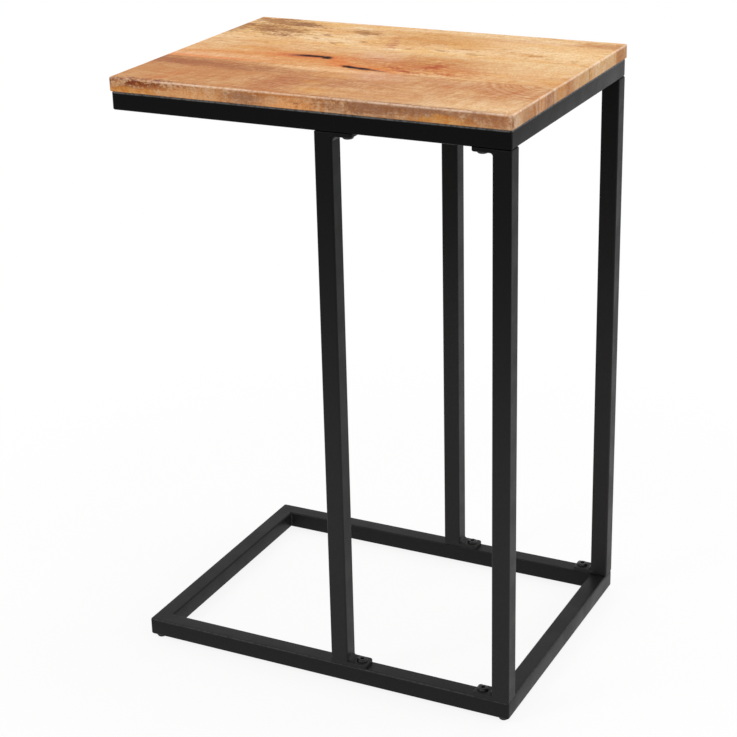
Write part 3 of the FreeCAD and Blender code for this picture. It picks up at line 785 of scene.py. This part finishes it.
# Colours of the wood and of what is in it.
CREAM = (242, 218, 184)
PEACH = (236, 195, 149)
PINK = (224, 186, 164)
HONEY = (228, 176, 80)
BRICK = (178, 80, 42)
BROWN = (186, 121, 57)
UMBER = (128, 88, 56)
SPALT = (166, 116, 64)
OLIVE = (184, 132, 62)
CHECK = (62, 44, 42)
# pale arris of the top: painted highlight and some real wear
ARRIS_LIT_AND_WORN_WOOD = (248, 226, 206)
END_FACE_SHADE = (0.72, 0.72, 0.8, 1.0)  # what is left of the colour under the painted shade on the end faces


def stain(x, y, long, wide, turn, soft, ragged, tone, strength):
    """A mark that goes right through the board, with its half length, half width and turn."""
    return (x, y, FACE), (long, wide, THROUGH), turn, soft, ragged, tone, strength


def check(x, y, long, wide, turn, soft, ragged, tone, strength):
    """A crack that has opened in the face, or the dark wood round it."""
    return (x, y, FACE), (long, wide, CHECK_DEPTH), turn, soft, ragged, tone, strength


def on_front(x, z, long, deep, high, soft, ragged, tone, strength):
    """A mark that shows on the front edge of the top."""
    return (x, FRONT, z), (long, deep, high), 0, soft, ragged, tone, strength


def on_end(y, z, deep, wide, high, soft, ragged, tone, strength):
    """A mark in the end grain at the right."""
    return (END, y, z), (deep, wide, high), 0, soft, ragged, tone, strength


# Each board: its pale and deep wood, the heart, ring spacing, wander, how much honey colour is in
# it, the colour and strength of its flecks, the strength of its rippled figure, where a branch
# was, and its marks, each laid over those before it.
BOARDS = {
    "front": {
        "pale": (222, 186, 144),
        "deep": (204, 148, 98),
        "heart": (0, -330, 590),
        "ring": 7,
        "wander": 40,
        "honey": 0.12,
        "flecks": (BROWN, 0.3),
        "figure": 0.22,
        "branch": (224, -34, FACE),
        "marks": [
            stain(-215, -110, 190, 95, 0, 0.9, 0.6, (196, 141, 85), 0.6),
            stain(200, -150, 70, 24, 0, 0.8, 0.4, (239, 209, 168), 0.6),
            stain(-195, -72, 110, 13, -3, 0.9, 1.2, (166, 104, 58), 0.75),
            stain(-25, -57, 62, 8, 0, 0.5, 0.5, PEACH, 0.8),
            stain(0, -77, 30, 9, 4, 0.9, 1.4, (226, 176, 104), 0.4),
            stain(36, -68, 28, 16, 0, 0.8, 0.5, PINK, 0.5),
            stain(2, -108, 44, 13, 4, 1.0, 2.0, (184, 122, 76), 0.65),
            stain(-47, -130, 17, 36, -14, 1.0, 1.8, (184, 120, 74), 0.6),
            stain(-12, -112, 10, 6, 0, 0.9, 2.0, HONEY, 0.3),
            stain(2, -142, 12, 10, -12, 0.9, 2.0, HONEY, 0.25),
            stain(-172, -136, 9, 30, -20, 0.9, 1.8, (204, 136, 78), 0.5),
            stain(160, -80, 70, 12, -8, 1.0, 1.6, (198, 138, 92), 0.5),
            on_front(0, 657, 400, 3, 20, 0.6, 0.2, (202, 168, 138), 0.65),
            on_front(-188, 661, 38, 6, 6, 0.9, 3.4, (128, 60, 30), 0.9),
            on_front(-204, 652, 24, 6, 4, 0.9, 1.8, (222, 162, 84), 0.6),
            on_front(-134, 654, 50, 6, 6, 0.8, 1.0, (224, 170, 116), 0.6),
            on_front(-68, 658, 22, 6, 5, 0.8, 1.6, (162, 122, 96), 0.75),
            on_front(-14, 664, 46, 6, 4, 0.7, 1.2, BROWN, 0.7),
            on_front(-6, 654, 30, 5, 8, 0.6, 1.0, (228, 172, 118), 0.8),
            on_front(110, 660, 92, 5, 8, 0.7, 1.4, (156, 112, 86), 0.8),
            on_front(160, 653, 34, 6, 4, 0.9, 2.2, (222, 164, 92), 0.65),
            on_front(206, 658, 26, 5, 9, 0.8, 1.4, (172, 122, 92), 0.6),
            on_end(-89, 657, 4, 5, 30, 0.7, 0.6, PEACH, 0.7),
            on_end(-68, 657, 4, 9, 30, 0.9, 0.8, (172, 112, 68), 0.5),
            on_end(-130, 657, 4, 8, 30, 0.9, 0.8, (184, 122, 65), 0.45),
        ],
    },
    "middle": {
        "pale": (232, 200, 158),
        "deep": (216, 160, 98),
        "heart": (0, 260, 560),
        "ring": 8,
        "wander": 44,
        "honey": 0.3,
        "flecks": (BROWN, 0.3),
        "figure": 0.14,
        "marks": [
            stain(66, 4, 62, 32, 0, 0.9, 1.6, (200, 142, 74), 0.7),
            stain(0, 12, 26, 20, -10, 1.0, 2.0, PINK, 0.55),
            stain(2, -10, 26, 10, -12, 0.9, 2.4, (190, 130, 96), 0.6),
            stain(58, -14, 30, 16, -12, 1.0, 2.4, (194, 122, 66), 0.6),
            stain(-175, -34, 90, 10, 4, 0.7, 0.5, (232, 190, 152), 0.7),
            stain(-160, -14, 90, 8, 9, 0.8, 0.6, (222, 152, 84), 0.5),
            stain(-60, -16, 84, 24, -6, 0.8, 0.6, (216, 148, 71), 0.7),
            stain(-190, -46, 90, 5, 0, 0.8, 0.6, (226, 141, 72), 0.7),
            stain(-72, -6, 40, 8.5, 2, 0.9, 0.6, (216, 122, 62), 0.8),
            stain(-26, -23, 26, 7, -34, 0.9, 0.8, (218, 132, 56), 0.75),
            stain(8, -39, 42, 8, -8, 0.8, 0.6, (222, 131, 54), 0.7),
            stain(96, -20, 38, 17, 0, 1.0, 2.8, (206, 128, 66), 0.5),
            stain(50, -35, 18, 5, -30, 0.9, 1.6, (184, 91, 4), 0.95),
            stain(76, -8, 7, 14, -24, 0.9, 1.8, (186, 93, 4), 0.9),
            stain(98, -36, 18, 4, 0, 0.9, 1.8, (194, 103, 10), 0.7),
            check(-76, -5, 20, 4, 5, 0.8, 0.6, (112, 58, 36), 0.9),
            check(-68, -4, 17, 4.2, 4, 0.5, 0.5, CHECK, OPEN),
            check(-52, -6, 8, 5.2, -46, 0.45, 0.5, CHECK, OPEN),
            check(-8, -38, 12, 4.6, -18, 0.5, 0.5, CHECK, OPEN),
            check(7, -41, 15, 4.2, -8, 0.5, 0.5, (60, 50, 58), OPEN),
            check(25, -44, 12, 2.2, -6, 0.7, 0.4, (124, 88, 78), 0.9),
            stain(190, 10, 56, 30, 0, 0.9, 0.6, (236, 206, 164), 0.6),
            stain(120, 44, 130, 11, 0, 0.9, 1.6, (236, 208, 166), 0.6),
            on_end(45, 657, 4, 1.5, 30, 0.6, 0.5, UMBER, 0.4),
            on_end(-14, 657, 4, 12, 30, 0.9, 0.8, (186, 118, 64), 0.5),
            on_end(26, 657, 4, 12, 30, 0.8, 0.8, (222, 181, 122), 0.6),
        ],
    },
    "rear": {
        "pale": CREAM,
        "deep": (224, 176, 114),
        "heart": (0, -180, 610),
        "ring": 8,
        "wander": 44,
        "honey": 0.4,
        "flecks": (OLIVE, 0.5),
        "figure": 0.12,
        "marks": [
            stain(20, 112, 64, 28, 0, 0.9, 0.8, (208, 151, 77), 0.7),
            stain(150, 118, 80, 16, 0, 0.9, 0.6, (238, 208, 166), 0.4),
            stain(190, 92, 36, 30, 0, 0.8, 0.6, (240, 208, 160), 0.4),
            stain(-184, 108, 46, 24, -6, 0.8, 1.6, (208, 161, 77), 0.6),
            stain(-186, 114, 38, 14, -24, 0.9, 2.2, SPALT, 0.9),
            stain(-168, 92, 24, 9, -34, 0.9, 2.2, (164, 112, 62), 0.8),
            stain(-222, 108, 8, 30, 0, 0.8, 1.4, SPALT, 0.6),
            stain(-68, 122, 15, 9, -20, 0.8, 2.2, (160, 110, 54), 0.8),
            stain(-106, 98, 7, 3, -30, 0.9, 1.4, (160, 104, 56), 0.65),
            stain(-111, 80, 5, 2.5, -24, 0.9, 1.4, OLIVE, 0.6),
            stain(-50, 78, 5, 2.5, -30, 0.9, 1.4, (160, 104, 56), 0.65),
            stain(-79, 60, 6, 2, -30, 0.9, 1.4, (160, 104, 56), 0.6),
            stain(-14, 80, 4, 18, 14, 0.9, 2.0, BRICK, 0.4),
            stain(49, 66, 7, 2.5, -24, 0.9, 1.4, OLIVE, 0.55),
            stain(88, 58, 7, 2.5, -24, 0.9, 1.4, OLIVE, 0.65),
            stain(156, 75, 9, 3.5, 10, 0.6, 1.4, OLIVE, 0.65),
            stain(71, 80, 8, 2.5, 0, 0.6, 1.2, BROWN, 0.5),
        ],
    },
    "edge": {
        "pale": (236, 208, 170),
        "deep": (224, 177, 117),
        "heart": (0, 152, 615),
        "ring": 6,
        "wander": 20,
        "honey": 0.35,
        "flecks": (OLIVE, 0.35),
        "figure": 0.12,
        "marks": [
            stain(-186, 144, 50, 16, -3, 0.8, 1.6, (208, 161, 83), 0.6),
            stain(-184, 144, 40, 13, -16, 0.9, 2.2, (164, 112, 60), 0.85),
            stain(-152, 138, 22, 8, -30, 0.9, 2.0, (146, 100, 62), 0.6),
            stain(-72, 130, 12, 5, 0, 0.8, 2.2, (164, 116, 60), 0.7),
            stain(20, 136, 60, 9, 0, 0.9, 0.8, (210, 158, 89), 0.6),
            stain(208, 143, 26, 11, 0, 0.9, 1.4, BROWN, 0.6),
            stain(120, 136, 40, 6, 2, 0.9, 1.6, PINK, 0.3),
            on_end(140, 655, 8, 30, 14, 0.5, 0.8, (196, 142, 92), 0.6),
        ],
    },
}


TOP_CORNER = (225.5, 165.5, FACE)  # mm, a corner of the top's upper face
END_SHADE_FROM = 224.4  # mm from the middle, where the end grain starts to show and its painted shade begins
END_SHADE_TO = 225.4
ARRIS_FAINT_AT = -205.0  # mm along the top, where its pale arris, painted highlight and wear, is faint
ARRIS_FULL_AT = -130.0
FIRST_SEED = 3.0
SEED_STEP = 5


def over(tree, colour, mask, share, tone):
    """Lays a tone over a colour where a mask is, as strongly as the share says."""
    return mixed(tree, maths(tree, "MULTIPLY", mask, share), colour, paint(*tone))


def mango(name, seed, look):
    """The lacquered wood of one board, with its marks laid over its grain one by one."""
    finish, tree, surface, position = new_finish(f"mango {name} board")
    wood = use(tree, grain, {
        "Position": position, "Heart": look["heart"], "Ring": look["ring"],
        "Wander": look["wander"], "Seed": seed,
    })
    tone = maths(tree, "MULTIPLY", wood["Tone"], 0.54)
    deepness = maths(tree, "MULTIPLY_ADD", wood["Rings"], 0.24, tone)
    deepness = maths(tree, "MULTIPLY_ADD", wood["Bands"], 0.24, deepness)
    colour = mixed(tree, deepness, paint(*look["pale"]), paint(*look["deep"]))
    colour = over(tree, colour, wood["Honey"], look["honey"], HONEY)
    fleck_colour, fleck_strength = look["flecks"]
    colour = over(tree, colour, wood["Flecks"], fleck_strength, fleck_colour)
    checks = None
    for middle, half_size, turn, soft, rough, tone, strength in look["marks"]:
        mask = use(tree, mark, {
            "Position": position, "Middle": middle, "Half size": half_size,
            "Turn": math.radians(turn), "Soft": soft, "Strength": strength,
            "Ragged": maths(tree, "MULTIPLY", wood["Ragged"], 1.5 * rough),
        })["Mask"]
        colour = mixed(tree, mask, colour, paint(*tone))
        if strength == OPEN:
            checks = mask if checks is None else maths(tree, "MAXIMUM", checks, mask)

    # Fibres, ripples and grit change the yellow of the wood more than its brightness.
    fine = maths(tree, "MULTIPLY_ADD", wood["Grit"], 0.3, -0.28)
    fine = maths(tree, "MULTIPLY_ADD", wood["Fibres"], 0.26, fine)
    fine = maths(tree, "MULTIPLY_ADD", wood["Figure"], look["figure"], fine)
    if "branch" in look:
        wave = use(tree, curl, {
            "Position": position, "Middle": look["branch"], "Squash": (0.9, 1.0, 0.4),
            "Spacing": 4.5, "Reach": 86.0, "Ragged": wood["Ragged"],
        })["Wave"]
        fine = maths(tree, "MULTIPLY_ADD", wave, 0.38, fine)
    tint = vectors(tree, "MULTIPLY_ADD", fine, (0.2, 0.58, 1.05), (1.0, 1.0, 1.0))
    colour = mixed(tree, 1.0, colour, tint, "MULTIPLY")

    # Painted shade darkens the end faces, over the last millimetre of each end.
    folded = put(tree, "ShaderNodeSeparateXYZ", {0: vectors(tree, "ABSOLUTE", position)}).outputs
    end_shade = ease(tree, folded[0], END_SHADE_FROM, END_SHADE_TO, 0.0, 0.9)
    colour = mixed(tree, end_shade, colour, END_FACE_SHADE, "MULTIPLY")
    colour = over(tree, colour, wood["Pores"], 0.22, BROWN)

    # The eased arris is pale, a painted highlight with some wear, less so towards the open end.
    arris_lit_and_worn = use(tree, arris_light, {"Position": position, "Corner": TOP_CORNER, "Reach": 2.5})
    along = put(tree, "ShaderNodeSeparateXYZ", {0: position}).outputs[0]
    lit_and_worn_share = ease(tree, along, ARRIS_FAINT_AT, ARRIS_FULL_AT, 0.25, 0.9)
    colour = over(tree, colour, arris_lit_and_worn["Mask"], lit_and_worn_share, ARRIS_LIT_AND_WORN_WOOD)

    # Lacquer wets the wood, which deepens its colours.
    wetted = put(tree, "ShaderNodeGamma", {"Color": colour, "Gamma": 1.3}).outputs[0]
    tree.links.new(wetted, surface.inputs["Base Color"])
    dull = ease(tree, wood["Fibres"], 0.0, 1.0, 0.48, 0.42)
    height = maths(tree, "MULTIPLY", wood["Fibres"], 0.35)
    height = maths(tree, "SUBTRACT", height, wood["Pores"])
    if checks is not None:
        dull = maths(tree, "MULTIPLY_ADD", checks, 0.3, dull)
        height = maths(tree, "MULTIPLY_ADD", checks, -5.0, height)
    tree.links.new(dull, surface.inputs["Roughness"])
    surface.inputs["Specular IOR Level"].default_value = 0.05
    set_height(tree, surface, height, depth=0.02)
    return finish


BOARD_EASE = 1.6 * MM
BOARD_UNDER_EASE = 1.2 * MM
BOARD_CORNER = 3.0 * MM
BOARD_SPACING = 5 * MM
EASE_WANDER = 28 * MM  # length over which the easing changes


def board_run(low, high, front_free, back_free):
    """The board's outer sides, counter-clockwise. A glued side is left for the skin to close."""
    if front_free or back_free:
        # From one glued corner round the two free ones to the other glued corner.
        first, second = (low, high) if front_free else (high, low)
        return outline_run(
            [
                (first.x, second.y, 0),
                (first.x, first.y, BOARD_CORNER),
                (second.x, first.y, BOARD_CORNER),
                (second.x, second.y, 0),
            ],
            BOARD_SPACING,
        )
    right = outline_run([(high.x, low.y, 0), (high.x, high.y, 0)], BOARD_SPACING)
    left = outline_run([(low.x, high.y, 0), (low.x, low.y, 0)], BOARD_SPACING)
    return right + left


def hand_eased(radius):
    """The radius that sandpaper left, which wanders along the edge."""
    return lambda point: radius * (0.9 + 0.3 * noise.noise(Vector((*point, 0)) / EASE_WANDER))


for number, (board, look) in enumerate(BOARDS.items()):
    board_low, board_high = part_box(f"top_board_{board}")
    run = board_run(board_low, board_high, board == "front", board == "edge")
    thickness = board_high.z - board_low.z
    loops = slab_loops(run, thickness, hand_eased(BOARD_UNDER_EASE), hand_eased(BOARD_EASE))
    plank = bmesh.new()
    add_skin(plank, loops, Matrix.Translation((0, 0, board_low.z)))
    lacquered = mango(board, FIRST_SEED + SEED_STEP * number, look)
    finish_piece(f"mango_board_{board}", plank, lacquered, f"top_board_{board}")


# ---------------------------------------------------------------- fixing of the top
# Four clipped steel tabs are welded inside the top frame, flush with its upper face, and powder
# coated. A zinc plated hexagon-head screw goes up through the slot in each one into the wood.

HEX_APOTHEM = 3.5 * MM
HEX_HEIGHT = 2.8 * MM
HEX_FLAT = 0.86  # radius of the flat on the head, as a share of the apothem
HEX_CHAMFER = 0.35 * MM  # height of the chamfer over the middle of a side
HEX_CORNER_CHAMFER = 0.8 * MM  # and over a corner
HEX_CUT = 0.97  # share of the corner radius at the first of these heights
WASHER_FACE = 0.98  # radius of the washer face under the head, as a share of the apothem
WASHER_HEIGHT = 0.5 * MM
WASHER_STEP = 0.6 * MM  # height at which the sides of the head end
WOOD_SHANK_RADIUS = 1.8 * MM
WOOD_CORE_RADIUS = 1.296 * MM
WOOD_NECK_RADIUS = 1.35 * MM
WOOD_NECK_LENGTH = 0.6 * MM
WOOD_TIP_RADIUS = 0.2 * MM
WOOD_SHANK_LENGTH = 11 * MM
WOOD_PLAIN_LENGTH = 3 * MM  # what has no thread, at the neck and the point
WOOD_PITCH = 1.4 * MM
WOOD_CREST = 0.45  # where in the pitch the thread stands highest
WOOD_ROOT = 0.7  # where it is down at the core again


def wood_screw_loops():
    """Head down and point up, with a washer face, a chamfered hexagon and a coarse thread."""
    loops = [
        round_loop(HEX_APOTHEM * HEX_FLAT, -HEX_HEIGHT),
        hexagon_loop(HEX_APOTHEM, -HEX_HEIGHT + HEX_CHAMFER, HEX_CUT),
        hexagon_loop(HEX_APOTHEM, -HEX_HEIGHT + HEX_CORNER_CHAMFER),
        hexagon_loop(HEX_APOTHEM, -WASHER_STEP),
        round_loop(HEX_APOTHEM * WASHER_FACE, -WASHER_HEIGHT),
        round_loop(HEX_APOTHEM * WASHER_FACE, 0),
        round_loop(WOOD_NECK_RADIUS, 0),
    ]
    for turn in range(int((WOOD_SHANK_LENGTH - WOOD_PLAIN_LENGTH) / WOOD_PITCH)):
        foot = WOOD_NECK_LENGTH + turn * WOOD_PITCH
        loops.append(round_loop(WOOD_CORE_RADIUS, foot))
        loops.append(round_loop(WOOD_SHANK_RADIUS, foot + WOOD_PITCH * WOOD_CREST))
        loops.append(round_loop(WOOD_CORE_RADIUS, foot + WOOD_PITCH * WOOD_ROOT))
    loops.append(round_loop(WOOD_TIP_RADIUS, WOOD_SHANK_LENGTH))
    return loops


dress("top_fixing_lugs", post_coat)
lug_underside = Vector((0, 0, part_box("top_fixing_lugs")[0].z))
wood_screws = bmesh.new()
half_tip = HEX_APOTHEM / math.cos(math.pi / 6)
for number, spot in enumerate(four_places("top_fixing_screws", half_tip, HEX_APOTHEM)):
    driven = Matrix.Rotation(math.radians(60 * number), 4, "Z")  # two sides stay along the table
    add_skin(wood_screws, wood_screw_loops(), Matrix.Translation(spot + lug_underside) @ driven)
finish_piece("hexagon_wood_screws", wood_screws, zinc, "top_fixing_screws")


# ---------------------------------------------------------------- studio
# The table stands on a plain white floor in soft studio light. The floor keeps a faint shadow
# under the table and is pure white away from it.

FLOOR_RADIUS = 9.0
SHADOW_REACH = 900 * MM  # how far from the middle of the table the floor shows shadows
SHADOW_WEIGHT = 0.12  # how much of the floor's own shade the picture keeps
AMBIENT = 0.72  # strength of the light from all round


def by_what_looks(tree):
    """1 for a ray from the lens, a reflection or something clear, 0 for light that falls."""
    seen = put(tree, "ShaderNodeLightPath").outputs
    direct = maths(tree, "MAXIMUM", seen["Is Camera Ray"], seen["Is Glossy Ray"])
    return maths(tree, "MAXIMUM", direct, seen["Is Transmission Ray"])


floor_mesh = bmesh.new()
bmesh.ops.create_circle(floor_mesh, cap_ends=True, segments=96, radius=FLOOR_RADIUS)
floor_data = bpy.data.meshes.new("floor")
floor_mesh.to_mesh(floor_data)
floor_mesh.free()
floor = bpy.data.objects.new("floor", floor_data)
bpy.context.scene.collection.objects.link(floor)

floor_paint = bpy.data.materials.new("white studio floor")
floor_paint.use_nodes = True
tree = floor_paint.node_tree
tree.nodes.clear()
from_middle = length_of(tree, put(tree, "ShaderNodeTexCoord").outputs["Object"])
shade_kept = ease(tree, from_middle, SHADOW_REACH / 2, SHADOW_REACH, SHADOW_WEIGHT, 0.0)
white_share = maths(tree, "MULTIPLY", by_what_looks(tree), maths(tree, "SUBTRACT", 1.0, shade_kept))
matt = put(tree, "ShaderNodeBsdfDiffuse", {"Color": (0.9, 0.9, 0.9, 1.0)}).outputs[0]
glow = put(tree, "ShaderNodeEmission", {"Color": (1.0, 1.0, 1.0, 1.0), "Strength": 1.0}).outputs[0]
above = put(tree, "ShaderNodeMixShader", {0: white_share, 1: matt, 2: glow}).outputs[0]
beneath = put(tree, "ShaderNodeBsdfTransparent").outputs[0]
behind = put(tree, "ShaderNodeNewGeometry").outputs["Backfacing"]
both = put(tree, "ShaderNodeMixShader", {0: behind, 1: above, 2: beneath}).outputs[0]
put(tree, "ShaderNodeOutputMaterial", {"Surface": both})
floor_data.materials.append(floor_paint)

world = bpy.data.worlds.new("white studio")
bpy.context.scene.world = world
world.use_nodes = True
tree = world.node_tree
tree.nodes.clear()
strength = maths(tree, "MULTIPLY_ADD", by_what_looks(tree), 1.0 - AMBIENT, AMBIENT)
sky_inputs = {"Color": (1.0, 1.0, 1.0, 1.0), "Strength": strength}
sky = put(tree, "ShaderNodeBackground", sky_inputs).outputs[0]
put(tree, "ShaderNodeOutputWorld", {"Surface": sky})


def softbox(name, place, target, size, watts):
    """A square lamp that faces a point."""
    light = bpy.data.lights.new(name, "AREA")
    light.size = size
    light.energy = watts
    lamp = bpy.data.objects.new(name, light)
    lamp.location = place
    lamp.rotation_euler = (Vector(target) - Vector(place)).to_track_quat("-Z", "Y").to_euler()
    bpy.context.scene.collection.objects.link(lamp)


softbox("key softbox", (-1.1, -1.8, 2.0), (0, 0, 0.45), size=0.8, watts=15)
softbox("side softbox", (1.9, 0.3, 0.8), (0, 0, 0.3), size=1.0, watts=11)
softbox("overhead softbox", (0.2, 0.4, 2.6), (0, 0, 0.5), size=0.6, watts=10)

PICTURE = 737  # width of the picture in pixels
LENS = 1863.7  # focal length in those pixels
SENSOR = 36.0
CAMERA_SHIFT = 0.03
CAMERA_PLACE = (0.8626, -1.74788, 1.10178)
CAMERA_TURN = 27.36  # degrees from the table's front towards its right end
CAMERA_DROP = 21.34  # degrees below the level
CAMERA_ROLL = -1.66
camera_data = bpy.data.cameras.new("camera")
camera_data.sensor_width = SENSOR
camera_data.lens = LENS / PICTURE * SENSOR
camera_data.shift_x = CAMERA_SHIFT
camera_data.shift_y = -CAMERA_SHIFT
camera_data.dof.use_dof = False
camera = bpy.data.objects.new("camera", camera_data)
facing = Matrix.Rotation(math.radians(CAMERA_TURN), 4, "Z")
facing @= Matrix.Rotation(math.radians(90 - CAMERA_DROP), 4, "X")
facing @= Matrix.Rotation(math.radians(CAMERA_ROLL), 4, "Z")
camera.matrix_world = Matrix.Translation(CAMERA_PLACE) @ facing
bpy.context.scene.collection.objects.link(camera)
bpy.context.scene.camera = camera
bpy.context.scene.view_settings.view_transform = "Standard"
